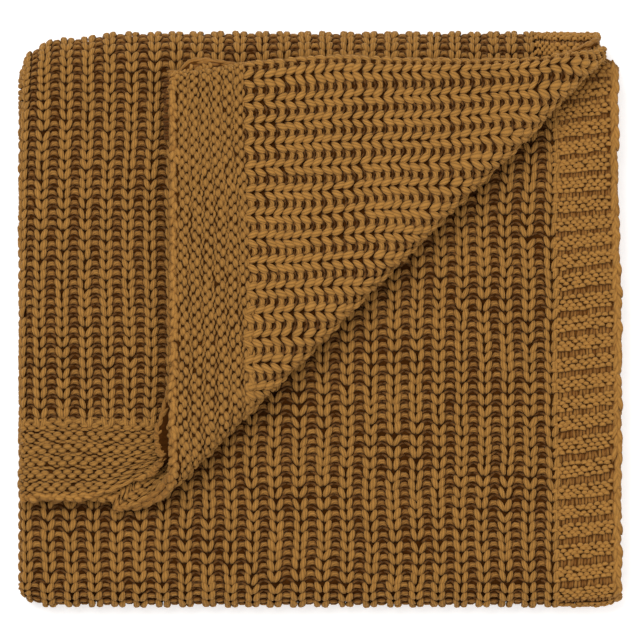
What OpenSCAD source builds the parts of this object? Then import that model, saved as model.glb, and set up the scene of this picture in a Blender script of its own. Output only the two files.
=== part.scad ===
// Folded throw blanket, knitted in one piece.
// The cloth is folded across its width in thirds, which makes a long strip of three plies. The strip
// is then folded along its length like a letter: the middle third lies flat, the near third is folded
// over it, and the upper third over both. One corner of the upper third is turned back along a
// diagonal crease and lies on top.
// Origin: middle of the underside. +X to the right, +Y to the far fold, +Z up.

/* [Folded stack] */
// Width of the stack, from the left fold to the right edge
stack_w = 332; // [300:1:380]
// Depth of the stack, from the near fold to the far fold
stack_d = 317; // [300:1:360]
// Distance from the near fold to the end of the upper third
upper_setback = 59; // [45:1:75]
// Distance from the stack's right edge to the upper third's right edge
upper_inset = 8; // [4:1:14]
// Distance from the far fold to the near third's hidden end, which lies inside the far fold
near_setback = 21; // [21:1:70]

/* [Cloth] */
// Thickness of one knitted ply
ply_t = 4.4; // [3:0.1:5]
// Gap between two plies of the strip
ply_gap = 0.2; // [0.1:0.05:0.3]
// Gap between two layers that move apart
layer_gap = 0.4; // [0.3:0.05:0.6]

/* [Borders] */
// Width of the ridged border across each end of the cloth
end_border_w = 40; // [30:1:60]
// Width of the banded border along each side of the cloth
side_border_w = 32; // [25:1:45]
// Width of the chain selvedge outside the side border
selvedge_w = 4.5; // [4:0.5:6]
// Depth of the cast-on edge and of the bind-off edge
end_edge_d = 4; // [3:0.5:6]

/* [Turned corner] */
// Length of each free edge of the corner that is turned back
corner_leg = 240; // [215:1:250]
// How far the round of the crease stays behind a sharp crease
crease_take_up = 2.3; // [1:0.1:5]

/* [Hidden] */
$fn = 72;
// Radii of the folds inside the strip: the outer ply round the lower one, and the lower into the middle
strip_t = 3 * ply_t + 2 * ply_gap;
wrap_r = strip_t / 2;
tuck_r = ply_t + ply_gap / 2;
// Heights of the undersides of the near and upper layers, and of the top of the stack
near_z = strip_t + ply_gap;
upper_z = near_z + strip_t + layer_gap;
stack_t = upper_z + strip_t;
// Outline of the stack in plan
left_x = -stack_w / 2;
right_x = stack_w / 2;
upper_right_x = right_x - upper_inset;
near_y = -stack_d / 2;
far_y = stack_d / 2;
upper_end_y = near_y + upper_setback;
near_end_y = far_y - near_setback;
// The two rolls that join the layers
near_fold_r = (near_z + strip_t) / 2;
near_axis_y = near_y + near_fold_r;
far_fold_r = stack_t / 2;
far_axis_y = far_y - far_fold_r;
far_core_r = far_fold_r - strip_t;
// The crease of the turned corner runs at 45 degrees. Each offset is x - y on its line.
crease_r = strip_t + layer_gap / 2;
crease_z = stack_t + layer_gap / 2;
sharp_crease = upper_right_x - corner_leg - upper_end_y;
crease_offset = sharp_crease - sqrt(2) * (crease_r + crease_take_up);
crease_start = (2 * upper_end_y + crease_offset) / sqrt(2);
crease_end = (2 * (far_y - crease_r) + crease_offset) / sqrt(2);
// Room left round a roll that a layer turns about
roll_clearance = 0.3;
// The turned corner stops where it would meet the far fold's roll once it is laid flat
roll_above_near = upper_z - far_fold_r;
roll_edge_y = far_axis_y - sqrt(pow(far_fold_r + roll_clearance, 2) - pow(roll_above_near, 2));
corner_far_y = roll_edge_y + crease_offset - sharp_crease;
// Border and selvedge of the outer ply, from the right edge inwards
banded_w = side_border_w + selvedge_w;
// Start of the inner ply's border, just inside the left fold
inner_start = wrap_r + 1;
reach = 2 * max(stack_w, stack_d);

ochre = [0.60, 0.42, 0.18];
ochre_border = [0.55, 0.38, 0.16];
ochre_edge = [0.66, 0.47, 0.21];
ochre_fold = [0.57, 0.40, 0.17];

// ---- sections across the strip, in X and Z, with the outer ply on top ----

// Half of a ring that joins two plies. side is -1 for a fold at the left and 1 at the right.
module ply_fold(outer_r, inner_r, side) {
    difference() {
        circle(outer_r);
        circle(inner_r);
        translate([side > 0 ? -2 * outer_r : 0, -outer_r])
            square([2 * outer_r, 2 * outer_r]);
    }
}

// A flat run of one ply between two places across the strip. level 0 is the lowest ply.
module ply_run(from_x, to_x, level) {
    translate([from_x, level * (ply_t + ply_gap)])
        square([to_x - from_x, ply_t]);
}

// The ribbed cloth: everything but the two side borders
module rib_section(right) {
    translate([left_x + wrap_r, wrap_r])
        ply_fold(wrap_r, wrap_r - ply_t, -1);
    translate([right - tuck_r, tuck_r])
        ply_fold(tuck_r, ply_gap / 2, 1);
    ply_run(left_x + wrap_r, right - tuck_r, 0);
    ply_run(left_x + inner_start + side_border_w, right - tuck_r, 1);
    ply_run(left_x + wrap_r, right - banded_w, 2);
}

module side_border_section(right) {
    ply_run(right - banded_w, right - selvedge_w, 2);
}

module inner_border_section() {
    ply_run(left_x + inner_start, left_x + inner_start + side_border_w, 1);
}

module selvedge_section(right) {
    ply_run(right - selvedge_w, right - ply_t / 2, 2);
    translate([right - ply_t / 2, strip_t - ply_t / 2])
        circle(d = ply_t);
}

// All three plies at an end of the cloth, where the ridged border crosses the whole width
module end_section(right) {
    rib_section(right);
    side_border_section(right);
    inner_border_section();
    selvedge_section(right);
}

// ---- placing ----

module along_y(from_y, to_y) {
    translate([0, to_y, 0])
        rotate([90, 0, 0])
            linear_extrude(to_y - from_y)
                children();
}

// Turns a layer over, so that its outer ply faces down
module outer_ply_down() {
    translate([0, 0, strip_t])
        mirror([0, 0, 1])
            children();
}

// What rounding takes away from the lower right corner of a square
module corner_waste(r) {
    translate([-r, r])
        difference() {
            translate([0, -r])
                square([2 * r, r]);
            circle(r);
        }
}

// A roll about the X axis. turn is 360 for a whole one, or 180 for its near half. Its left end is
// rounded where the strip's own fold is, and its right end where it is free.
module roll(radius, from_x, to_x, left_round, right_round, turn) {
    length = to_x - from_x;
    translate([from_x, 0, 0])
        rotate([90, 0, 90])
            rotate([0, 0, turn / 2])
                rotate_extrude(angle = turn)
                    difference() {
                        square([radius, length]);
                        if (left_round > 0)
                            translate([radius, 0])
                                corner_waste(left_round);
                        if (right_round > 0)
                            translate([radius, length])
                                mirror([0, 1])
                                    corner_waste(right_round);
                    }
}

module far_roll_space() {
    translate([-reach / 2, far_axis_y, far_fold_r])
        rotate([0, 90, 0])
            cylinder(r = far_fold_r + roll_clearance, h = reach);
}

// Places children in the crease's own frame: X along the crease, Y towards the part that lies flat
module at_crease() {
    translate([crease_offset / 2, -crease_offset / 2, crease_z])
        rotate([0, 0, 45])
            children();
}

module crease_roll_space() {
    at_crease()
        translate([-reach / 2, 0, 0])
            rotate([0, 90, 0])
                cylinder(r = crease_r + roll_clearance, h = reach);
}

// Keeps what lies to the left of the crease, clear of the crease's own roll
module left_of_crease() {
    difference() {
        intersection() {
            children();
            at_crease()
                translate([-reach / 2, 0, -reach / 2])
                    cube([reach, reach, reach]);
        }
        crease_roll_space();
    }
}

// A part of the upper third that stays down, clear of the far fold that it turns about
module upper_piece() {
    difference() {
        left_of_crease()
            translate([0, 0, upper_z])
                children();
        far_roll_space();
    }
}

// A part of the upper third's corner, turned over about the crease
module turned_piece() {
    left_of_crease()
        translate([sharp_crease, -sharp_crease, 2 * crease_z])
            rotate(a = 180, v = [1, 1, 0])
                translate([0, 0, upper_z])
                    children();
}

// A part of the middle third, clear of the far fold's roll
module middle_piece() {
    difference() {
        outer_ply_down()
            along_y(near_axis_y, far_axis_y)
                children();
        far_roll_space();
    }
}

// ---- middle third ----

module middle_rib() {
    color(ochre)
        middle_piece()
            rib_section(right_x);
}

module middle_side_border() {
    color(ochre_border)
        middle_piece()
            side_border_section(right_x);
}

module middle_selvedge() {
    color(ochre_edge)
        middle_piece()
            selvedge_section(right_x);
}

module middle_inner_border() {
    color(ochre_border)
        middle_piece()
            inner_border_section();
}

// ---- near third, with its hidden end ----

near_border_y = near_end_y - end_edge_d - end_border_w;

module near_layer(from_y, to_y) {
    translate([0, 0, near_z])
        along_y(from_y, to_y)
            children();
}

module near_rib() {
    color(ochre)
        near_layer(near_axis_y, near_border_y)
            rib_section(right_x);
}

module near_side_border() {
    color(ochre_border)
        near_layer(near_axis_y, near_border_y)
            side_border_section(right_x);
}

module near_selvedge() {
    color(ochre_edge)
        near_layer(near_axis_y, near_border_y)
            selvedge_section(right_x);
}

module near_inner_border() {
    color(ochre_border)
        near_layer(near_axis_y, near_border_y)
            inner_border_section();
}

module near_end_border() {
    color(ochre_border)
        near_layer(near_border_y, near_end_y - end_edge_d)
            end_section(right_x);
}

module near_cast_on() {
    color(ochre_edge)
        near_layer(near_end_y - end_edge_d, near_end_y)
            end_section(right_x);
}

// ---- the two rolls ----

module near_fold() {
    color(ochre_fold)
        translate([0, near_axis_y, near_fold_r])
            roll(near_fold_r, left_x, right_x - banded_w, wrap_r, 0, 180);
}

module near_fold_border() {
    color(ochre_border)
        translate([0, near_axis_y, near_fold_r])
            roll(near_fold_r, right_x - banded_w, right_x, 0, ply_t, 180);
}

// The cloth that rolls from the middle third to the upper third, open towards the near third's end
module far_roll(from_x, to_x, left_round, right_round) {
    translate([0, far_axis_y, far_fold_r])
        difference() {
            roll(far_fold_r, from_x, to_x, left_round, right_round, 360);
            translate([-reach / 2, 0, 0])
                rotate([0, 90, 0])
                    cylinder(r = far_core_r, h = reach);
            translate([-reach / 2, -2 * far_fold_r, -far_core_r])
                cube([reach, 2 * far_fold_r, 2 * far_core_r]);
        }
}

module far_fold() {
    color(ochre_fold)
        far_roll(left_x, upper_right_x - banded_w, wrap_r, 0);
}

module far_fold_border() {
    color(ochre_border)
        far_roll(upper_right_x - banded_w, upper_right_x, 0, ply_t);
}

// ---- upper third, as far as the crease ----

upper_border_y = upper_end_y + end_edge_d + end_border_w;

module upper_rib() {
    color(ochre)
        upper_piece()
            along_y(upper_border_y, far_axis_y)
                rib_section(upper_right_x);
}

module upper_inner_border() {
    color(ochre_border)
        upper_piece()
            along_y(upper_border_y, far_axis_y)
                inner_border_section();
}

module upper_end_border() {
    color(ochre_border)
        upper_piece()
            along_y(upper_end_y + end_edge_d, upper_border_y)
                end_section(upper_right_x);
}

module upper_bind_off() {
    color(ochre_edge)
        upper_piece()
            along_y(upper_end_y, upper_end_y + end_edge_d)
                end_section(upper_right_x);
}

module crease_fold() {
    color(ochre_fold)
        difference() {
            at_crease()
                roll(crease_r, crease_start, crease_end, wrap_r, wrap_r, 360);
            far_roll_space();
        }
}

// ---- corner of the upper third, turned back over the crease ----

module flap_rib() {
    color(ochre)
        turned_piece()
            along_y(upper_border_y, corner_far_y)
                rib_section(upper_right_x);
}

module flap_side_border() {
    color(ochre_border)
        turned_piece()
            along_y(upper_border_y, corner_far_y)
                side_border_section(upper_right_x);
}

module flap_selvedge() {
    color(ochre_edge)
        turned_piece()
            along_y(upper_border_y, corner_far_y)
                selvedge_section(upper_right_x);
}

module flap_end_border() {
    color(ochre_border)
        turned_piece()
            along_y(upper_end_y + end_edge_d, upper_border_y)
                end_section(upper_right_x);
}

module flap_bind_off() {
    color(ochre_edge)
        turned_piece()
            along_y(upper_end_y, upper_end_y + end_edge_d)
                end_section(upper_right_x);
}

middle_rib();
middle_side_border();
middle_selvedge();
middle_inner_border();
near_rib();
near_side_border();
near_selvedge();
near_inner_border();
near_end_border();
near_cast_on();
near_fold();
near_fold_border();
far_fold();
far_fold_border();
upper_rib();
upper_inner_border();
upper_end_border();
upper_bind_off();
crease_fold();
flap_rib();
flap_side_border();
flap_selvedge();
flap_end_border();
flap_bind_off();
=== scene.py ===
import math

import bpy
import numpy as np
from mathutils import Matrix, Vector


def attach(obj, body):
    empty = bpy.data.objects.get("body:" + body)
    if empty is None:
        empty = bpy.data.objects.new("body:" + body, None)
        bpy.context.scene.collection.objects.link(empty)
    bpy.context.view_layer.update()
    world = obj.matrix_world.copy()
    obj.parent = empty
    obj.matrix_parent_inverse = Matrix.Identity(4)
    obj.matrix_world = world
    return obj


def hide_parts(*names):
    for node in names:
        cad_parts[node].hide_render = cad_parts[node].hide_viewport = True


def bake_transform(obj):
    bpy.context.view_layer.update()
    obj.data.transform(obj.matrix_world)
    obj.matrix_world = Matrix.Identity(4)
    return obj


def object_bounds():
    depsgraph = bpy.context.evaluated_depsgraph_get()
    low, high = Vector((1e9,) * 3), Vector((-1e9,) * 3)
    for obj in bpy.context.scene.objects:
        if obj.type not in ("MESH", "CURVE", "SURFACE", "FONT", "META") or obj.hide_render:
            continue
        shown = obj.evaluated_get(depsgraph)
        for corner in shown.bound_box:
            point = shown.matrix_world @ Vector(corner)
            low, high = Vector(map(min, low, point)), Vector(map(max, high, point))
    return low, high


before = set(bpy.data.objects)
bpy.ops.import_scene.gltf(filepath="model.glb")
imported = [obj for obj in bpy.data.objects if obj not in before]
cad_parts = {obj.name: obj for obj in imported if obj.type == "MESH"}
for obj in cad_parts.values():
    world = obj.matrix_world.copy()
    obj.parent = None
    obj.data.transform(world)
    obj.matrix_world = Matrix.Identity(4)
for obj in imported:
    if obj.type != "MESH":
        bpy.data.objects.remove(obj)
cad_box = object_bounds()

# A folded knitted throw. The cloth has its own coordinates, in millimetres: u runs across its
# width, s along its length, and w is the height outside its face. lower() and upper() say where
# the folds put each of its points. Every stitch is a few tubes of yarn, laid on the cloth by them.

# ---- the CAD model's sizes, in millimetres ----

LEFT, NEAR, _ = np.array(cad_box[0]) * 1000
RIGHT, FAR, _ = np.array(cad_box[1]) * 1000
STRIP = 13.6  # the cloth folded into three plies
WRAP_R, TUCK_R = 6.8, 4.5  # its folds at the left and right
UPPER_Z = 27.8  # underside of the upper third
STACK = UPPER_Z + STRIP
NEAR_ROLL_R, FAR_ROLL_R = 13.7, 20.7
NEAR_AXIS, FAR_AXIS = NEAR + NEAR_ROLL_R, FAR - FAR_ROLL_R
CREASE_Z = STACK + 0.2
CREASE = -5.2688  # x - y on the crease's axis
UPPER_RIGHT = 158.0
UPPER_END, NEAR_END = -99.5, 137.5
FLAP_FAR_X = 112.8  # the turned corner rides as one piece up to here
SIDE_W, SELVEDGE_W, END_W, CHAIN_W = 32.0, 4.5, 36.6, 4.0
R2 = math.sqrt(2)

# u where each part of the strip's section ends: outer ply, left fold, lower ply, right fold,
# inner ply
WRAP_X = LEFT + WRAP_R
U1 = RIGHT - WRAP_X
U2 = U1 + math.pi * WRAP_R
U3 = U2 + RIGHT - TUCK_R - WRAP_X
U4 = U3 + math.pi * TUCK_R
U5 = U4 + RIGHT - TUCK_R - LEFT - WRAP_R - 1

# s is y on top of the near and upper thirds, and goes on round the rolls
NEAR_ARC = math.pi * NEAR_ROLL_R
MIDDLE_FAR = NEAR_AXIS - NEAR_ARC - (FAR_AXIS - NEAR_AXIS)  # where the middle third ends
FAR_RATE = 18.5  # millimetres of cloth to a radian on the far roll
FAR_ARC = math.pi * FAR_RATE
ROLL_END = FAR_AXIS + FAR_ARC  # where the far roll ends
EDGE_IN = 2.5  # the end chains stand out this far from the ground cloth


# ---- where the cloth lies ----


def smooth(v, start, end):
    """0 before start, 1 past end, and a smooth step between them."""
    t = np.clip((np.asarray(v, float) - start) / (end - start), 0, 1)
    return t * t * (3 - 2 * t)


def outer_ply(u):
    """1 on the outer ply, falling to 0 round the left fold."""
    return np.interp(u, [U1, U2], [1.0, 0.0])


def section(u, w, right):
    """Across the strip: x and height of a point w outside the cloth's face."""
    u, w, right = np.broadcast_arrays(*[np.asarray(v, float) for v in (u, w, right)])
    k = (right - WRAP_X) / (RIGHT - WRAP_X)
    k2 = (right - TUCK_R - WRAP_X) / (RIGHT - TUCK_R - WRAP_X)
    turn = np.clip(math.pi / 2 + (u - U1) / WRAP_R, math.pi / 2, 1.5 * math.pi)
    tuck = np.clip(-math.pi / 2 + (u - U3) / TUCK_R, -math.pi / 2, math.pi / 2)
    parts = [u < U1, u < U2, u < U3, u < U4]
    x = np.select(
        parts,
        [
            right - u * k,
            WRAP_X + (WRAP_R + w) * np.cos(turn),
            WRAP_X + (u - U2) * k2,
            right - TUCK_R + (TUCK_R + w) * np.cos(tuck),
        ],
        right - TUCK_R - (u - U4) * k2,
    )
    h = np.select(
        parts,
        [
            STRIP + w,
            WRAP_R + (WRAP_R + w) * np.sin(turn),
            -w,
            TUCK_R + (TUCK_R + w) * np.sin(tuck),
        ],
        2 * TUCK_R + w,
    )
    return x, h


def lower(u, s, w):
    """The near third, the near roll and the middle third, in that order as s falls."""
    x, h = section(u, w, RIGHT)
    s = np.broadcast_to(s, x.shape)
    # round the near roll
    arc = NEAR_AXIS - s
    a = np.clip(arc / NEAR_ROLL_R, 0, math.pi)
    r = h + NEAR_ROLL_R - STRIP
    past = np.maximum(arc - NEAR_ARC, 0)
    y = np.where(arc < 0, s, NEAR_AXIS - r * np.sin(a) + past)
    z = NEAR_ROLL_R + r * np.cos(a)
    # both near corners are round
    left, right = smooth(-x, 148, -LEFT) ** 1.6, smooth(x, 155, RIGHT) ** 1.6
    y = y + (5.0 * left + 3.0 * right) * smooth(-y, 146, -NEAR)
    # the right edge is drawn in towards the far end, whose corner reaches up under the crease
    x = x - 1.8 * smooth(x, 120, RIGHT) * smooth(y, -10, 80)
    y = y + 2.4 * smooth(s, 115, NEAR_END) * smooth(x, 132, 148) * (1 - smooth(x, 148, RIGHT))
    return np.stack([x, y, z], -1)


def ply_radius(u, s):
    """How tightly each ply turns over the crease. The outer ply slides out at the far end."""
    return 10.25 - outer_ply(u) * np.clip(0.16 * (s - 108), 0, 7)


def past_crease(u, s):
    """How far a point of the flat upper third lies past the crease's axis."""
    x, _ = section(u, 0, upper_right(u, s))
    return (x - s - CREASE) / R2


def upper_right(u, s):
    """The strip's right edge is drawn in over the far roll, and full width under it."""
    under = smooth(s, FAR_AXIS + 0.8 * FAR_ARC, FAR_AXIS + FAR_ARC)
    lower_plies = (1 - outer_ply(u)) * smooth(s, 95, 125) * (1 - smooth(s, 146, 160))
    drawn = 3.5 * smooth(s, 95, FAR_AXIS)
    return UPPER_RIGHT - drawn + 5.5 * lower_plies + (RIGHT - UPPER_RIGHT + 3.5) * under


def upper(u, s, w):
    """The upper third with its turned corner, and the far roll as s grows past its axis."""
    x, h = section(u, w, upper_right(u, s))
    u, s = np.broadcast_to(u, x.shape), np.broadcast_to(s, x.shape)
    # round the crease
    turn = ply_radius(u, s)
    d = (x - s - CREASE) / R2
    a = np.clip(d / turn, 0, math.pi)
    rho = CREASE_Z - UPPER_Z - h
    q = np.where(d < 0, d, rho * np.sin(a) - np.maximum(d - math.pi * turn, 0))
    q = q + CREASE / R2
    z = CREASE_Z - rho * np.cos(a)
    along = (x + s) / R2
    # where the crease begins the end of the outer ply draws back, and the others flare out
    ending, outer = smooth(s, -56, UPPER_END), outer_ply(u)
    drawn = 13 * np.exp(-(((d + 1) / np.where(d < -1, 9, 14)) ** 2)) - 10 * np.exp(-(((d - 44) / 13) ** 2))
    flare = 8 * smooth(d, -7, -2) * (1 - smooth(d, 2, 20))
    along = along + ending * (outer * drawn - (1 - outer) * flare)
    q = q - 5 * ending * outer * np.exp(-(((d - 22) / 26) ** 2))
    x, y = (along + q) / R2, (along - q) / R2
    # the turned corner leans a little, its far edge waves, and its outer ply shows past it
    turned = smooth(d, 0.5 * math.pi * turn, math.pi * turn)
    y = y + turned * 0.02 * (x + 32) * smooth(y, 30, 110)
    wave = 3.7 * np.exp(-(((x - 4) / 40) ** 2)) - 3.4 * (1 - smooth(x, -78, -32))
    peek = 6.1 * outer * smooth(x, -79, -70) * (1 - smooth(x, -66, -40))
    y = y + turned * (wave * smooth(y, 122, 141) + peek * smooth(y, 110, 138))
    # round the far roll
    r = FAR_ROLL_R + z - STACK
    a = np.maximum(y - FAR_AXIS, 0) / (FAR_RATE + turned * (r - FAR_RATE))
    y = np.where(a > 0, FAR_AXIS + r * np.sin(a), y)
    z = np.where(a > 0, FAR_ROLL_R + r * np.cos(a), z)
    # the stack's far left corner is round
    corner = 3.2 * smooth(-x, 112, 136) + 7.5 * smooth(-x, 142, -LEFT) ** 1.6
    y = y - corner * smooth(y, 112, FAR)
    # its columns run a little to the right over the far roll
    drift = 2.4 + 0.9 * smooth(x, -120, -60) + 4.2 * smooth(x, 0, 55) - 2.0 * smooth(x, 60, 105)
    drift = drift * (1 - smooth(x, 108, 130)) * smooth(y, 60, 150) * (1 - turned)
    x = x + drift * (1 - smooth(a, 1.6, 3.1)) + 0.8 * smooth(-x, 90, -LEFT)
    return np.stack([x, y, z], -1)


# ---- smooth unevenness ----

WAVES = 6


def wobble(a, b, size, seed):
    """Smooth noise from about -1 to 1 that changes over about size millimetres."""
    rng = np.random.default_rng(seed)
    heading, phase = rng.uniform(0, math.tau, WAVES), rng.uniform(0, math.tau, WAVES)
    scale = rng.uniform(0.6, 1.6, WAVES)
    total = 0
    for k in range(WAVES):
        along = a * math.cos(heading[k]) + b * math.sin(heading[k])
        total = total + np.sin(along * math.tau / (size * 2) * scale[k] + phase[k])
    return total / 3.2


# ---- yarn ----

# One stroke of yarn is a row of points: across, along, height and half-width, in millimetres.
# Along points away from the tip of the V that each stitch makes.

# The rib's V is two legs, and the channel beside it holds a barrel with a wing at each end. Where
# the rib is stretched open, on the lower ply, the legs are wider and the barrel higher.
LEG = [
    (3.2, 3.6, -3.1, 0.5),
    (2.95, 2.4, -1.7, 1.35),
    (2.4, 0.8, -1.0, 1.75),
    (1.75, -0.8, -1.0, 1.7),
    (1.15, -2.3, -1.6, 1.3),
    (0.65, -3.7, -3.0, 0.5),
]
OPEN_LEG = [
    (4.4, 3.3, -2.9, 0.8),
    (3.75, 2.2, -1.7, 1.65),
    (2.85, 0.75, -1.0, 1.95),
    (1.9, -0.6, -1.0, 1.95),
    (1.0, -1.9, -1.6, 1.6),
    (0.3, -3.1, -2.8, 0.8),
]
BARREL = [
    (-3.2, -1.7, -3.6, 0.6),
    (-2.2, 0.0, -2.9, 1.15),
    (-0.8, 1.0, -2.45, 1.55),
    (0.8, 1.0, -2.45, 1.55),
    (2.2, 0.0, -2.9, 1.15),
    (3.2, -1.7, -3.6, 0.6),
]
OPEN_BARREL = [
    (-2.7, -1.4, -3.4, 0.6),
    (-1.8, 0.2, -2.35, 1.25),
    (-0.6, 1.1, -1.75, 1.5),
    (0.6, 1.1, -1.75, 1.5),
    (1.8, 0.2, -2.35, 1.25),
    (2.7, -1.4, -3.4, 0.6),
]
WING = [
    (0.0, -1.6, -3.4, 0.6),
    (1.4, -1.9, -3.1, 0.8),
    (2.7, -2.6, -2.8, 0.9),
    (3.9, -3.6, -2.9, 0.7),
]
# A band of the side border is bumps over upright stems
BUMP = [
    (-1.8, -0.9, -2.7, 0.4),
    (-1.0, -0.1, -1.4, 1.05),
    (0, 0.3, -0.9, 1.3),
    (1.0, -0.1, -1.4, 1.05),
    (1.8, -0.9, -2.7, 0.4),
]
STEM = [
    (0.8, -3.1, -3.0, 0.7),
    (0.85, -1.0, -2.4, 0.9),
    (0.95, 1.0, -2.4, 0.9),
    (1.05, 3.1, -2.9, 0.7),
]
# An end border is domes, each with a thin strand beside it
DOME = [
    (-2.6, 0.8, -3.0, 0.5),
    (-1.6, 0.05, -1.65, 1.3),
    (0, -0.15, -0.95, 1.7),
    (1.6, 0.05, -1.65, 1.3),
    (2.6, 0.8, -3.0, 0.5),
]
STRAND = [
    (-2.8, 0.9, -2.7, 0.45),
    (-1.5, 0.2, -1.75, 0.75),
    (0, -0.2, -1.45, 0.85),
    (1.5, 0.2, -1.75, 0.75),
    (2.8, 0.9, -2.7, 0.45),
]
# The chains along the ends and down the selvedge
CHAIN = [
    (-2.9, -1.3, -3.6, 0.4),
    (-1.6, -0.7, -2.9, 1.5),
    (0, 0.0, -2.7, 1.9),
    (1.6, 0.7, -2.9, 1.5),
    (2.9, 1.3, -3.6, 0.4),
]
EDGE = [
    (-0.3, -5.0, -3.2, 0.4),
    (-0.3, -2.6, -2.6, 1.45),
    (0.0, 0.0, -2.4, 1.75),
    (0.3, 2.6, -2.6, 1.4),
    (0.3, 5.0, -3.2, 0.4),
]


def mirrored(stroke):
    """The stroke with its left and right swapped."""
    return [(-a, b, c, r) for a, b, c, r in stroke]


def flipped(stroke):
    """The stroke turned over along the cloth."""
    return [(a, -b, c, r) for a, b, c, r in stroke]


def resample(stroke, n):
    """n points on a smooth line through the stroke's points."""
    p = np.array(stroke)
    p = np.vstack([2 * p[0] - p[1], p, 2 * p[-1] - p[-2]])
    t = np.linspace(0, len(stroke) - 1, n)
    i = np.minimum(t.astype(int), len(stroke) - 2)
    f = (t - i)[:, None]
    a, b, c, d = p[i], p[i + 1], p[i + 2], p[i + 3]
    return 0.5 * (
        2 * b + (c - a) * f + (2 * a - 5 * b + 4 * c - d) * f**2 + (3 * b - a - 3 * c + d) * f**3
    )


def tubes(
    place, u, s, stroke, size=(1, 1), rings=7, sides=8, flat=0.72, loose=1.0, lift=0.0, low=-9.0, seed=0
):
    """One tube along the stroke for each stitch centre, laid on the cloth by place.

    size scales the stroke across and along, flat is the yarn's height by its width, and loose is
    how uneven the stitches are. lift brightens them, and low is the deepest shade that they take.
    """
    rng = np.random.default_rng(seed + len(u))
    n = len(u)
    p = resample(stroke, rings)
    grow = 1 + 0.06 * rng.standard_normal(n)
    tilt = 0.08 * loose * rng.standard_normal(n)
    a = p[None, :, 0] * np.broadcast_to(size[0], n)[:, None]
    b = p[None, :, 1] * np.broadcast_to(size[1], n)[:, None]
    a, b = a - tilt[:, None] * b, b + tilt[:, None] * a
    c = p[None, :, 2] + 0.16 * loose * rng.standard_normal(n)[:, None]
    line = np.stack([a, b, np.broadcast_to(c, a.shape)], -1)
    along = np.gradient(line, axis=1)
    along /= np.linalg.norm(along, axis=-1, keepdims=True)
    side = np.cross(along, [0, 0, 1.0])
    side /= np.linalg.norm(side, axis=-1, keepdims=True)
    up = np.cross(side, along)
    wide = p[None, :, 3] * grow[:, None] * np.broadcast_to(size[0], n)[:, None] ** 0.5
    angle = np.linspace(0, math.tau, sides, endpoint=False)
    ring = (
        line[:, :, None]
        + side[:, :, None] * (wide[..., None] * np.cos(angle))[..., None]
        + up[:, :, None] * (flat * wide[..., None] * np.sin(angle))[..., None]
    )
    astray = 0.2 * loose * rng.standard_normal((2, n))
    at_u = u[:, None, None] + astray[0][:, None, None] + ring[..., 0]
    at_s = s[:, None, None] + astray[1][:, None, None] + ring[..., 1]
    points = place(at_u, at_s, ring[..., 2])
    length = np.concatenate([[0], np.cumsum(np.linalg.norm(np.diff(p[:, :3], axis=0), axis=1))])
    if p[0, 0] > p[-1, 0]:  # the plies lean the same way as their leg
        length = -length
    return {
        "points": points.reshape(-1, 3),
        # each point's height, down to low, sets how deep its painted shade is
        "shade_depth": np.maximum(ring[..., 2], low).reshape(-1),
        "tone": np.repeat(rng.standard_normal(n) + lift, rings * sides),
        "count": n,
        "rings": rings,
        "sides": sides,
        "length": length,
        "phase": rng.uniform(0, 1, n),
    }


def tube_faces(t):
    """Corner lists of one batch of tubes: corner indices, face sizes, and strand coordinates."""
    rings, m = t["rings"], t["sides"]
    i, j = np.meshgrid(np.arange(rings - 1), np.arange(m), indexing="ij")
    k = (j + 1) % m
    quads = np.stack([i * m + j, i * m + k, (i + 1) * m + k, (i + 1) * m + j], -1).reshape(-1)
    at = t["length"]
    uv = np.stack(
        [
            np.stack([at[i], at[i], at[i + 1], at[i + 1]], -1).reshape(-1),
            np.stack([j, j + 1, j + 1, j], -1).reshape(-1) / m,
        ],
        -1,
    )
    ends = np.concatenate([np.arange(m)[::-1], (rings - 1) * m + np.arange(m)])
    cap = np.stack([np.repeat([at[0], at[-1]], m), np.zeros(2 * m)], -1)
    corners = np.concatenate([quads, ends])
    sizes = np.concatenate([np.full((rings - 1) * m, 4), [m, m]])
    uv = np.concatenate([uv, cap])
    base = np.arange(t["count"])[:, None] * rings * m
    all_uv = np.tile(uv, (t["count"], 1, 1))
    all_uv[..., 1] += t["phase"][:, None]
    return (corners[None] + base).reshape(-1), np.tile(sizes, t["count"]), all_uv.reshape(-1, 2)


def mesh_object(name, points, corners, sizes, uv, values):
    """A smooth mesh object from arrays, in metres."""
    me = bpy.data.meshes.new(name)
    me.vertices.add(len(points))
    me.vertices.foreach_set("co", (points * 0.001).astype(np.float32).ravel())
    me.loops.add(len(corners))
    me.loops.foreach_set("vertex_index", corners.astype(np.int32))
    me.polygons.add(len(sizes))
    me.polygons.foreach_set("loop_start", np.concatenate([[0], np.cumsum(sizes)[:-1]]).astype(np.int32))
    me.polygons.foreach_set("use_smooth", np.ones(len(sizes), bool))
    me.update(calc_edges=True)
    me.uv_layers.new(name="strand").data.foreach_set("uv", uv.astype(np.float32).ravel())
    for key, v in values.items():
        me.attributes.new(key, "FLOAT", "POINT").data.foreach_set("value", v.astype(np.float32))
    me.validate()
    ob = bpy.data.objects.new(name, me)
    bpy.context.scene.collection.objects.link(ob)
    return ob


def yarn_piece(name, batches):
    """One object from batches of tubes."""
    batches = [t for t in batches if t["count"]]
    corners, sizes, uv, base = [], [], [], 0
    for t in batches:
        c, n, w = tube_faces(t)
        corners.append(c + base)
        sizes.append(n)
        uv.append(w)
        base += len(t["points"])
    joined = {k: np.concatenate([t[k] for t in batches]) for k in ("points", "shade_depth", "tone")}
    return mesh_object(
        name,
        joined["points"],
        np.concatenate(corners),
        np.concatenate(sizes),
        np.concatenate(uv),
        {"shade_depth": joined["shade_depth"], "tone": joined["tone"]},
    )


# ---- stitch layouts: arrays of centres on the cloth ----

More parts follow.
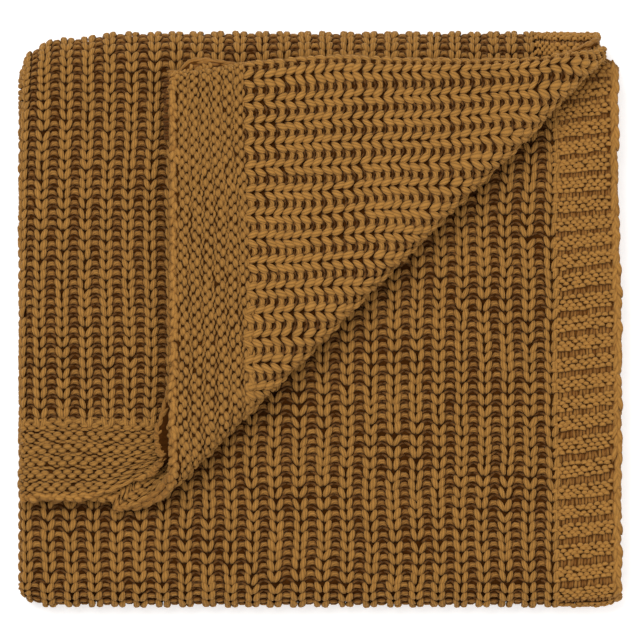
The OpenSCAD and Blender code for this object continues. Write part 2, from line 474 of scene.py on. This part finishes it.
# The sizes that the rib's strokes are drawn for
COLUMN_W, ROW_H = 12.9, 5.8
UPPER_ROW_H, LOWER_PLY_ROW_H = 5.45, 5.4  # rib rows on the upper third's outer and lower plies
BUMP_W = 3.75  # one column of bumps in the side border
BAND_H = 10.9  # one band of the upper third's side border
LOOP_W = 6.1  # one column, and one band, of the end border
CHAIN_LINK, EDGE_LINK = 5.2, 6.2


def everywhere(u, s):
    """Keeps every stitch."""
    return np.ones(len(u), bool)


def where_all(*tests):
    """Keeps the stitches that every one of the tests keeps."""
    return lambda u, s: np.all([test(u, s) for test in tests], axis=0)


def spread(columns, rows):
    """Every column crossed with every row, with the columns' own pitch."""
    columns = np.asarray(columns, float)
    u, s = np.meshgrid(columns, rows, indexing="ij")
    return u.ravel(), s.ravel(), np.repeat(np.abs(np.gradient(columns)), len(rows))


def steps(start, stop, pitch):
    """Middles of equal steps of about the pitch."""
    n = max(int(round((stop - start) / pitch)), 1)
    return start + (np.arange(n) + 0.5) * (stop - start) / n


def bent(u, s, seed):
    """Hand-made unevenness of rows and columns."""
    return u + 0.9 * wobble(u, s, 40, seed), s + 1.2 * wobble(u, s, 36, seed + 1)


def leaning(u, s):
    """The turned corner's ribs fan out a little towards the crease."""
    return (0.018 + 0.035 * (U3 - u) / 200) * (s + 40)


def rib_tubes(place, columns, rows, keep=everywhere, loose=False, coarse=False, seed=1):
    """V stitches on the columns and barrel stitches in the channels between them."""
    leg, barrel, lift = (OPEN_LEG, OPEN_BARREL, 1.5) if loose else (LEG, BARREL, 0.0)
    rings, sides = (4, 5) if coarse else (6, 7)
    row_scale = abs(rows[1] - rows[0]) / ROW_H

    def centres(at):
        u, s, pitch = spread(at, rows)
        u, s = bent(u + (leaning(u, s) if loose else 0), s, seed)
        k = keep(u, s)
        return u[k], s[k], (pitch[k] / COLUMN_W, row_scale)

    u, s, size = centres(columns)
    batches = [
        tubes(place, u, s, stroke, size, rings=rings, sides=sides, lift=lift, seed=seed + n)
        for n, stroke in enumerate((leg, mirrored(leg)))
    ]
    u, s, size = centres((np.asarray(columns)[:-1] + np.asarray(columns)[1:]) / 2)
    batches.append(tubes(place, u, s, barrel, size, rings=rings, sides=sides, flat=0.8, seed=seed + 2))
    for n, stroke in enumerate((WING, mirrored(WING))):
        batches.append(tubes(place, u, s, stroke, size, rings=4, sides=4, flat=0.9, seed=seed + 3 + n))
    return batches


def side_border_tubes(place, bands, keep=everywhere, wide=SIDE_W, slant=0.0, seed=11):
    """Bands of small bumps and upright stitches down the side of the cloth."""
    columns = steps(SELVEDGE_W - 1, SELVEDGE_W + wide - 1, BUMP_W)
    batches = []

    def add(stroke, at, along, **shape):
        u, s, _ = spread(at, bands)
        s = s + slant * (SELVEDGE_W + wide / 2 - u)
        u, s = bent(u, s + along, seed)
        k = keep(u, s)
        batches.append(tubes(place, u[k], s[k], stroke, sides=6, seed=seed + len(batches), **shape))

    for along, shifted in ((4.9, 0), (2.95, 1.87), (1.0, 0), (-0.95, 1.87)):
        add(BUMP, columns + shifted, along, rings=6, loose=1.4)
    for stroke in (STEM, mirrored(STEM)):
        add(stroke, columns, -4.3, rings=5, loose=1.2)
    return batches


def end_border_tubes(place, start, u_from, u_to, keep=everywhere, width=END_W, seed=21):
    """Ridged bands across the end of the cloth, away from its edge."""
    bands = steps(start + CHAIN_W, start + CHAIN_W + width, LOOP_W)
    columns = steps(u_from, u_to, LOOP_W)
    shifted = columns + LOOP_W / 2
    rows = (
        (DOME, columns, -0.9),
        (flipped(DOME), shifted, 0.9),
        (STRAND, shifted, -2.55),
        (flipped(STRAND), columns, 2.55),
    )
    batches = []
    for n, (stroke, at, along) in enumerate(rows):
        u, s, _ = spread(at, bands + along)
        # it is a tenth wider on the outer ply, and ever wider to the left on the lower one
        wider = np.clip((U3 - 6 - u) / 110, 0, 1.5) * (u > U2) * (u < U4) + 1.0 * (u < U1 + 12)
        s = start + (s - start) * (1 + 0.1 * wider)
        u, s = bent(u, s, seed)
        k = keep(u, s)
        batches.append(tubes(place, u[k], s[k], stroke, rings=6, sides=6, loose=1.2, seed=seed + n))
    return batches


def end_chain_tubes(place, start, u_from, u_to, keep=everywhere, seed=31):
    """The chain of slanted loops along the end of the cloth."""
    columns = steps(u_from, u_to, CHAIN_LINK)
    batches = []
    for n, (along, stroke) in enumerate(((1.6, CHAIN), (2.9, mirrored(CHAIN)))):
        u = columns + n * CHAIN_LINK / 2
        s = np.full(len(u), start + along)
        s = s + 0.4 * wobble(u, s, 30, seed)
        k = keep(u, s)
        batches.append(tubes(place, u[k], s[k], stroke, flat=1.1, loose=2.2, low=-1.5, seed=seed + n))
    return batches


def selvedge_tubes(place, s_from, s_to, keep=everywhere, seed=41):
    """The chain down the side edge."""
    rows = steps(s_from, s_to, EDGE_LINK)
    batches = []
    for n, (across, stroke) in enumerate(((1.6, EDGE), (3.1, mirrored(EDGE)))):
        s = rows + n * EDGE_LINK / 2
        u = np.full(len(s), across)
        k = keep(u, s)
        batches.append(tubes(place, u[k], s[k], stroke, flat=1.15, loose=1.6, low=-1.5, seed=seed + n))
    return batches


# Rib columns, as the centres of their V stitches. On the outer ply they are counted from the left.


def near_columns():
    j = np.arange(24)
    x = -161.5 + 12.57 * j - 1.9 * np.exp(-(((j - 10.4) / 1.6) ** 2))
    x = x + 1.1 * np.exp(-(((j - 16.5) / 3) ** 2))
    u = RIGHT - x[::-1]
    return np.concatenate([u, u[-1] + 12.7 * np.arange(1, 3)])


def upper_columns():
    j = np.arange(25)
    x = -165.3 + 12.055 * j - 0.0008 * j**3
    k = (UPPER_RIGHT - WRAP_X) / (RIGHT - WRAP_X)
    u = (UPPER_RIGHT - x[::-1]) / k
    return np.concatenate([u, u[-1] + 11.9 * np.arange(1, 3)])


def lower_ply_columns():
    i = np.arange(24)
    x = 148.9 - 11.9 * i - 0.098 * i * (i - 1)
    x = x[x > WRAP_X - 1]
    k = (UPPER_RIGHT - TUCK_R - WRAP_X) / (RIGHT - TUCK_R - WRAP_X)
    u = (U2 + (x - WRAP_X) / k)[::-1]
    return np.concatenate([u, [U3 + math.pi * TUCK_R / 2, U4 + 5]])


def right_fold_columns():
    return np.array([U3 - 6, U3 + math.pi * TUCK_R / 2, U4 + 6])


def near_bands():
    """The side border's bands get taller away from the cast-on edge."""
    pitch = 9.9 + 0.085 * np.minimum(np.arange(62), 26)
    bands = NEAR_END - 4.1 - np.cumsum(pitch) + pitch[0]
    return bands[bands > MIDDLE_FAR]


# ---- base cloth under the stitches ----

CLOTH_BACK = -4.3


def base_levels(u, s, place):
    """Heights of the base cloth's face and back, and how deep each of them is shaded."""
    ending = 1 - smooth(s, UPPER_END + 34, UPPER_END + 44) if place is upper else np.zeros(s.shape)
    face = np.interp(u, [SIDE_W, SIDE_W + 8, U3, U4 + 4], [-2.6, -3.1, -3.1, -0.6])
    # it is level under the upper third's end border
    face = np.minimum(face + 0.3 * ending, -0.6 - 2.2 * ending)
    shade = np.maximum(np.interp(u, [SIDE_W, SIDE_W + 8], [-2.4, -3.2]), -3.2 + 0.3 * ending)
    # painted shade: the back is darker along the upper third's end
    back_shade = -3.2 + 0.8 * smooth(s, UPPER_END + 6, UPPER_END + 12)
    return face, np.full(s.shape, CLOTH_BACK), shade, back_shade


def shell(place, u, s_from, s_to, rows):
    """Points, faces, flat coordinates and shade of a closed thin sheet over columns u."""
    t = np.linspace(0, 1, rows)
    s = s_from[:, None] + (s_to - s_from)[:, None] * t[None]
    uu = np.broadcast_to(u[:, None], s.shape)
    face, under, shade, back_shade = base_levels(uu, s, place)
    front = place(uu, s, face)
    back = place(uu, s, under)
    n, m = s.shape
    i, j = np.meshgrid(np.arange(n - 1), np.arange(m - 1), indexing="ij")
    i, j = i.ravel(), j.ravel()
    quad = np.stack([i * m + j, (i + 1) * m + j, (i + 1) * m + j + 1, i * m + j + 1], -1)
    # the wall runs all round the rim
    rim = [np.arange(m - 1), np.arange(n - 1) * m + m - 1]
    rim += [(n - 1) * m + np.arange(m - 1, 0, -1), np.arange(n - 1, 0, -1) * m]
    rim = np.concatenate(rim)
    nxt = np.roll(rim, -1)
    wall = np.stack([rim, nxt, nxt + n * m, rim + n * m], -1)
    faces = np.concatenate([quad, quad[:, ::-1] + n * m, wall])
    points = np.concatenate([front.reshape(-1, 3), back.reshape(-1, 3)])
    flat = np.tile(np.stack([uu.ravel(), s.ravel()], -1), (2, 1))
    return points, faces, flat, np.concatenate([shade.ravel(), back_shade.ravel()])


def base_cloth(name, place, u, s_from, s_to, rows):
    """One object of closed thin sheets, one for each unbroken run of columns, and its flat size."""
    points, faces, flat, shade_depth, base = [], [], [], [], 0
    length = s_to - s_from
    area = width = 0
    for i, j in column_runs(length > 0.5):
        if j - i < 4:
            continue
        p, f, w, d = shell(place, u[i:j], s_from[i:j], s_to[i:j], rows)
        points.append(p)
        faces.append(f + base)
        flat.append(w)
        shade_depth.append(d)
        base += len(p)
        area += np.diff(u[i:j]) @ (length[i + 1 : j] + length[i : j - 1]) / 2
        width += u[j - 1] - u[i]
    faces, flat = np.concatenate(faces), np.concatenate(flat)
    corners = faces.reshape(-1)
    values = {"shade_depth": np.concatenate(shade_depth), "tone": np.zeros(base)}
    sizes = np.full(len(faces), 4)
    ob = mesh_object(name, np.concatenate(points), corners, sizes, flat[corners], values)
    return ob, (width / 1000, area / width / 1000)


def column_runs(mask):
    """Each unbroken run of columns, as its first column and the one after its last."""
    edges = np.flatnonzero(np.diff(np.concatenate([[0], mask.astype(int), [0]])))
    return list(zip(edges[::2], edges[1::2]))


# ---- materials ----


def new_material(name):
    mat = bpy.data.materials.new(name)
    mat.use_nodes = True
    return mat, mat.node_tree, mat.node_tree.nodes["Principled BSDF"]


def add_node(tree, kind, inputs, **settings):
    """A new node. Each input is a value, or another node's output."""
    made = tree.nodes.new("ShaderNode" + kind)
    for key, value in settings.items():
        setattr(made, key, value)
    for key, value in inputs.items():
        if isinstance(value, bpy.types.NodeSocket):
            tree.links.new(value, made.inputs[key])
        else:
            made.inputs[key].default_value = value
    return made


def maths(tree, operation, *values):
    return add_node(tree, "Math", dict(enumerate(values)), operation=operation).outputs[0]


def point_value(tree, name):
    return add_node(tree, "Attribute", {}, attribute_name=name).outputs["Fac"]


def map_range(tree, value, **ends):
    ends = {key.replace("_", " ").title(): end for key, end in ends.items()}
    return add_node(tree, "MapRange", {"Value": value, **ends}).outputs[0]


def ramp(tree, value, stops):
    made = add_node(tree, "ValToRGB", {0: value})
    while len(made.color_ramp.elements) < len(stops):
        made.color_ramp.elements.new(0.5)
    for element, (at, colour) in zip(made.color_ramp.elements, stops):
        element.position = at
        element.color = (*colour, 1)
    return made.outputs[0]


def finish_surface(tree, shader, colour, gain, relief, strength, distance):
    """The colour, made lighter or darker by the gain, and the relief."""
    scaled = add_node(tree, "VectorMath", {0: colour, "Scale": gain}, operation="SCALE")
    tree.links.new(scaled.outputs[0], shader.inputs["Base Color"])
    bump = add_node(tree, "Bump", {"Strength": strength, "Distance": distance, "Height": relief})
    tree.links.new(bump.outputs[0], shader.inputs["Normal"])


# The yarn's own colour, then the darker colours of painted shade that it takes deeper in the knitting
YARN = (0.357, 0.169, 0.0367)
YARN_HALF_SHADE = (0.160, 0.058, 0.0098)
YARN_DEEP_SHADE = (0.06, 0.019, 0.003)


def yarn_material(name, strands, lean, bright=1.0, carve=1.0):
    """Plied cotton yarn, with painted shade that darkens it where it lies deep in the knitting.

    strands is how many plies go round it, lean how fast they wind, and carve how deep they are, in their
    bump and in the painted shade of the grooves between them.
    """
    mat, tree, shader = new_material(name)
    strand = add_node(tree, "SeparateXYZ", {0: add_node(tree, "UVMap", {}, uv_map="strand").outputs[0]})
    along, around = strand.outputs[0], strand.outputs[1]
    wind = maths(tree, "MULTIPLY_ADD", along, lean, maths(tree, "MULTIPLY", around, float(strands)))
    ply = maths(tree, "POWER", maths(tree, "PINGPONG", wind, 0.5), 0.5)
    # fine fibres along the yarn
    stretched = add_node(tree, "CombineXYZ", {0: along, 1: maths(tree, "MULTIPLY", wind, 26.0), 2: 0.0})
    noise = {"Vector": stretched.outputs[0], "Scale": 0.9, "Detail": 3.0}
    fibre = add_node(tree, "TexNoise", noise).outputs[0]
    # painted shade: the deeper the yarn lies, the darker its colour
    shade_level = map_range(tree, point_value(tree, "shade_depth"), from_min=-3.9, from_max=-0.9)
    colour = ramp(tree, shade_level, [(0.0, YARN_DEEP_SHADE), (0.5, YARN_HALF_SHADE), (1.0, YARN)])
    # painted shade in the grooves between the plies
    groove_shade = map_range(tree, ply, from_max=0.75, to_min=1 - 0.4 * carve, to_max=1.06)
    vary = maths(tree, "MULTIPLY_ADD", point_value(tree, "tone"), 0.035, bright)
    speck = maths(tree, "MULTIPLY_ADD", fibre, 0.35, -0.17)
    gain = maths(tree, "MULTIPLY", maths(tree, "ADD", vary, speck), groove_shade)
    relief = maths(tree, "MULTIPLY_ADD", fibre, 0.25, ply)
    finish_surface(tree, shader, colour, gain, relief, 1.0, 0.0006 * carve)
    shader.inputs["Roughness"].default_value = 0.9
    shader.inputs["Specular IOR Level"].default_value = 0.15
    shader.inputs["Sheen Weight"].default_value = 0.12
    shader.inputs["Sheen Roughness"].default_value = 0.5
    shader.inputs["Sheen Tint"].default_value = (1.0, 0.72, 0.35, 1)
    return mat


def cloth_material():
    """The dense back of the knitting, and the ground under the stitches, in the colours of painted shade:
    dark where it lies deep, and darker between its bumps.
    """
    mat, tree, shader = new_material("knit_ground")
    uv = add_node(tree, "UVMap", {}, uv_map="strand").outputs[0]
    cells = add_node(tree, "TexVoronoi", {"Vector": uv, "Scale": 0.42}).outputs["Distance"]
    fibre = add_node(tree, "TexNoise", {"Vector": uv, "Scale": 2.5, "Detail": 4.0}).outputs[0]
    shade_level = map_range(tree, point_value(tree, "shade_depth"), from_min=-3.2, from_max=-2.0)
    colour = ramp(tree, shade_level, [(0.0, YARN_DEEP_SHADE), (1.0, YARN_HALF_SHADE)])
    # painted shade: darker away from the middle of each bump
    gain = map_range(tree, cells, to_min=1.1, to_max=0.6)
    relief = maths(tree, "MULTIPLY_ADD", cells, -0.8, fibre)
    finish_surface(tree, shader, colour, gain, relief, 0.7, 0.0008)
    shader.inputs["Roughness"].default_value = 1.0
    shader.inputs["Specular IOR Level"].default_value = 0.02
    return mat


MATERIALS = {
    "rib_knit": yarn_material("rib_yarn", 5, 0.2),
    "side_border_knit": yarn_material("side_border_yarn", 3, 0.15, 0.97, carve=0.4),
    "end_border_knit": yarn_material("end_border_yarn", 4, 0.14, 0.885, carve=0.7),
    "edge_chain": yarn_material("edge_yarn", 4, 0.16, 1.0, carve=0.7),
    "ground": cloth_material(),
}


# ---- pieces ----

# The two bodies that a piece lies between. The third word marks the gusset.
FAR_BLEND = ("lower_stack", "upper_third")
CREASE_BLEND = ("upper_third", "corner_flap")
GUSSET_BLEND = ("upper_third", "corner_flap", "gusset")


def settle(ob, body, slot, ground=False):
    """Gives a piece the material of its slot and attaches it to its body. A piece given a pair of bodies
    only has its transform baked in.
    """
    ob.data.materials.append(MATERIALS["ground" if ground else slot])
    if isinstance(body, str):
        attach(ob, body)
    elif body == FAR_BLEND:
        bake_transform(ob)
    elif body == GUSSET_BLEND:
        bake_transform(ob)
    else:
        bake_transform(ob)
    return ob


def zone(name):
    """Which stitches of the upper third belong to a piece, by where they lie."""

    def keep(u, s):
        d = past_crease(u, s)
        over = math.pi * ply_radius(u, s)
        x = upper(u, s, 0 * u)[..., 0]
        far = (s > FAR_AXIS) & (d <= 0)
        gusset = (d > 0) & (x > FLAP_FAR_X)
        return {
            "flat": (d <= 0) & ~far,
            "far": far,
            "roll": (d > 0) & (d <= over) & ~gusset,
            "flap": (d > over) & ~gusset,
            "gusset": gusset,
        }[name]

    return keep


UPPER_ZONES = {
    "flat": ("upper_third", "upper_third"),
    "far": ("far_fold", FAR_BLEND),
    "roll": ("crease", CREASE_BLEND),
    "flap": ("corner", "corner_flap"),
    "gusset": ("corner_end", GUSSET_BLEND),
}

# Wide rib fields are made as two pieces, which meet here
MIDDLE_U = 190
HALVES = {"left": lambda u, s: u > MIDDLE_U, "right": lambda u, s: u <= MIDDLE_U}


def past_near_end(u, s, w):
    """The near third's cloth with s counted in from its end."""
    return lower(u, 2 * NEAR_END - s, w)


def upper_back(u, s, w):
    """The back of the upper third's cloth, a little below its face."""
    return upper(u, s, -6.2 - 0.6 * w)


def lower_pieces():
    """The stitches of the near and middle thirds."""
    made = {}
    rows = steps(NEAR_AXIS, NEAR_END - CHAIN_W - 18, ROW_H)
    for half, keep in HALVES.items():
        ribs = rib_tubes(lower, near_columns(), rows, keep, seed=101)
        made["near_third_" + half + "_ribs"] = (ribs, "rib_knit")
    rows = steps(NEAR_AXIS - NEAR_ARC, NEAR_AXIS, ROW_H)
    made["near_fold_ribs"] = (rib_tubes(lower, near_columns(), rows, seed=111), "rib_knit")
    rows = steps(MIDDLE_FAR, NEAR_AXIS - NEAR_ARC, ROW_H)
    for half, keep in HALVES.items():
        ribs = rib_tubes(lower, near_columns(), rows, keep, coarse=True, seed=121)
        made["middle_third_" + half + "_ribs"] = (ribs, "rib_knit")
    rows = steps(MIDDLE_FAR, NEAR_END - 41, ROW_H)
    made["lower_right_fold"] = (rib_tubes(lower, right_fold_columns(), rows, seed=131), "rib_knit")
    border = side_border_tubes(lower, near_bands(), wide=SIDE_W + 1, slant=0.12)
    made["lower_side_border"] = (border, "side_border_knit")
    made["lower_selvedge"] = (selvedge_tubes(lower, MIDDLE_FAR, NEAR_END), "edge_chain")
    border = end_border_tubes(past_near_end, NEAR_END, SELVEDGE_W + SIDE_W, U2, width=18, seed=141)
    border += end_border_tubes(past_near_end, NEAR_END, U3 - 9, U4 + 9, seed=143)
    made["near_end_bands"] = (border, "end_border_knit")
    edge = end_chain_tubes(past_near_end, NEAR_END, 0, U4, seed=151)
    made["cast_on_edge"] = (edge, "edge_chain")
    return settled(made, "lower_stack")


def upper_ribs(key, keep):
    """The rib stitches of one zone, by the end of their piece's name."""
    rib_from = UPPER_END + CHAIN_W + END_W
    rows = steps(rib_from, ROLL_END, UPPER_ROW_H)
    if key == "flat":
        made = {
            "_" + half + "_ribs": rib_tubes(upper, upper_columns(), rows, where_all(keep, side), seed=201)
            for half, side in HALVES.items()
        }
    else:
        made = {"_ribs": rib_tubes(upper, upper_columns(), rows, keep, seed=201)}
    if key == "far":
        made["_ribs"] += rib_tubes(upper, right_fold_columns(), rows, keep, seed=221)
        return made
    half_way = FAR_AXIS + 0.5 * FAR_ARC
    lower_ply = rib_tubes(
        upper, lower_ply_columns(), steps(rib_from + 0.6, half_way, LOWER_PLY_ROW_H),
        where_all(keep, lambda u, s: s < half_way), loose=True, coarse=key == "flat", seed=211,
    )
    name = "_under_ribs" if key == "flat" else "_ribs"
    made[name] = made.get(name, []) + lower_ply
    return made


def upper_borders(key, keep):
    """The border and edge stitches of one zone, by the end of their piece's name."""
    bands = steps(UPPER_END, ROLL_END, BAND_H)
    made = {
        "_side_border": (side_border_tubes(upper, bands, keep, wide=SIDE_W + 7), "side_border_knit"),
        "_selvedge": (selvedge_tubes(upper, UPPER_END, ROLL_END, keep), "edge_chain"),
    }
    if key in ("roll", "flap", "gusset"):
        border = side_border_tubes(upper_back, bands, keep, wide=19, seed=15)
        made["_border_back"] = (border, "side_border_knit")
    if key in ("roll", "flap"):
        end = end_border_tubes(upper_back, UPPER_END + 1.5, SELVEDGE_W, U4, keep, width=12.4, seed=25)
        made["_end_back"] = (end, "end_border_knit")
    end = end_border_tubes(upper, UPPER_END, SELVEDGE_W + SIDE_W, U4, keep)
    if key in ("flat", "roll"):
        # the inner ply shows only next to the crease
        peeps = where_all(keep, lambda u, s: past_crease(u, s) > -14)
        end += end_border_tubes(upper, UPPER_END, U4, U5, peeps, width=18.3, seed=23)
    made["_end_border"] = (end, "end_border_knit")
    made["_bound_edge"] = (end_chain_tubes(upper, UPPER_END, 0, U5, keep), "edge_chain")
    return made


def upper_pieces(key):
    """The stitches of one zone of the upper third."""
    name, body = UPPER_ZONES[key]
    keep = zone(key)
    made = {end: (ribs, "rib_knit") for end, ribs in upper_ribs(key, keep).items()}
    made.update(upper_borders(key, keep))
    return settled({name + end: piece for end, piece in made.items()}, body)


def settled(made, body):
    """The pieces of a body, each from its stitches and its slot. One without stitches is left out."""
    return [
        settle(yarn_piece(name, batches), body, slot)
        for name, (batches, slot) in made.items()
        if sum(t["count"] for t in batches)
    ]


def section_columns(step):
    """Columns across the whole section, closer together round its folds."""
    runs = [(2, U1, step), (U1, U2, 1.8), (U2, U3, step), (U3, U4, 1.5), (U4, U5, step)]
    return np.concatenate(
        [np.linspace(a, b, max(int((b - a) / p), 2), endpoint=False) for a, b, p in runs] + [[U5]]
    )


def crease_s(u, turn):
    """The s at which each column has turned this far, in radians, round the crease."""
    s = np.zeros(len(u))
    for _ in range(25):
        x, _ = section(u, 0, upper_right(u, s))
        s = 0.4 * s + 0.6 * (x - CREASE - R2 * turn * ply_radius(u, s))
    return s


def base_pieces():
    """The sheets of ground cloth, with their flat sizes."""
    u = section_columns(5.0)
    start, end = np.full(len(u), MIDDLE_FAR), np.full(len(u), NEAR_END - EDGE_IN)
    made = [("lower_cloth", lower, u, start, end, 130, "lower_stack")]
    u = section_columns(3.0)
    start, axis, end = [np.full(len(u), s) for s in (UPPER_END + EDGE_IN, FAR_AXIS, ROLL_END)]
    first = np.clip(crease_s(u, 0), start, end)
    over = np.clip(crease_s(u, math.pi), start, end)
    made += [
        ("upper_cloth", upper, u, np.minimum(first, axis), axis, 60, "upper_third"),
        ("far_fold_cloth", upper, u, np.maximum(first, axis), end, 24, FAR_BLEND),
        ("crease_cloth", upper, u, over, first, 16, CREASE_BLEND),
        ("corner_cloth", upper, u, start, over, 50, "corner_flap"),
    ]
    done = []
    for *shape, body in made:
        ob, size = base_cloth(*shape)
        settle(ob, body, "rib_knit", ground=True)
        done.append((ob, size))
    return done


REPLACED = {
    "lower_cloth": [
        "middle_rib", "middle_side_border", "middle_selvedge", "middle_inner_border",
        "near_rib", "near_side_border", "near_selvedge", "near_inner_border",
        "near_end_border", "near_cast_on", "near_fold", "near_fold_border",
    ],
    "far_fold_cloth": ["far_fold", "far_fold_border"],
    "upper_cloth": ["upper_rib", "upper_inner_border", "upper_end_border", "upper_bind_off"],
    "crease_cloth": ["crease_fold"],
    "corner_cloth": [
        "flap_rib", "flap_side_border", "flap_selvedge", "flap_end_border", "flap_bind_off"
    ],
}


def build():
    """Every piece, and each sheet with the stitches that lie on it."""
    yarn = {
        "lower_cloth": lower_pieces(),
        "upper_cloth": upper_pieces("flat"),
        "far_fold_cloth": upper_pieces("far"),
        "crease_cloth": upper_pieces("roll"),
        "corner_cloth": upper_pieces("flap"),
    }
    yarn["crease_cloth"] += upper_pieces("gusset")
    for ob, size in base_pieces():
        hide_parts(*REPLACED[ob.name])


# ---- stage, light and camera ----


def floor():
    """A plain floor that stays white under the soft light."""
    bpy.ops.mesh.primitive_plane_add(size=6)
    ob = bpy.context.object
    ob.name = "floor"
    mat, _, shader = new_material("floor_white")
    shader.inputs["Base Color"].default_value = (0.85, 0.85, 0.85, 1)
    shader.inputs["Roughness"].default_value = 0.9
    shader.inputs["Emission Color"].default_value = (1, 1, 1, 1)
    shader.inputs["Emission Strength"].default_value = 0.4
    ob.data.materials.append(mat)


def lamp(name, place, size, power):
    """A soft lamp that points at the blanket."""
    data = bpy.data.lights.new(name, "AREA")
    data.size = size
    data.energy = power
    ob = bpy.data.objects.new(name, data)
    ob.location = place
    aim = -ob.location.normalized()
    ob.rotation_euler = aim.to_track_quat("-Z", "Y").to_euler()
    bpy.context.scene.collection.objects.link(ob)


def lights():
    lamp("key", (-0.5, 0.7, 1.9), 1.2, 30)
    lamp("fill", (0.9, -0.6, 1.7), 1.6, 12)
    world = bpy.data.worlds.new("soft_grey")
    world.use_nodes = True
    background = world.node_tree.nodes["Background"]
    background.inputs["Color"].default_value = (1, 1, 1, 1)
    background.inputs["Strength"].default_value = 0.5
    bpy.context.scene.world = world


SENSOR_W = 36
VIEW_W, VIEW_FROM = 0.3515, 6.0  # metres of picture width at this distance


def camera():
    """It looks straight down at the folded blanket's upper layers."""
    data = bpy.data.cameras.new("camera")
    data.sensor_width = SENSOR_W
    data.lens = SENSOR_W * VIEW_FROM / VIEW_W
    ob = bpy.data.objects.new("camera", data)
    ob.location = (0.0002, -0.0003, VIEW_FROM + 0.03)
    bpy.context.scene.collection.objects.link(ob)
    bpy.context.scene.camera = ob


build()
floor()
lights()
camera()
bpy.context.scene.view_settings.view_transform = "Standard"
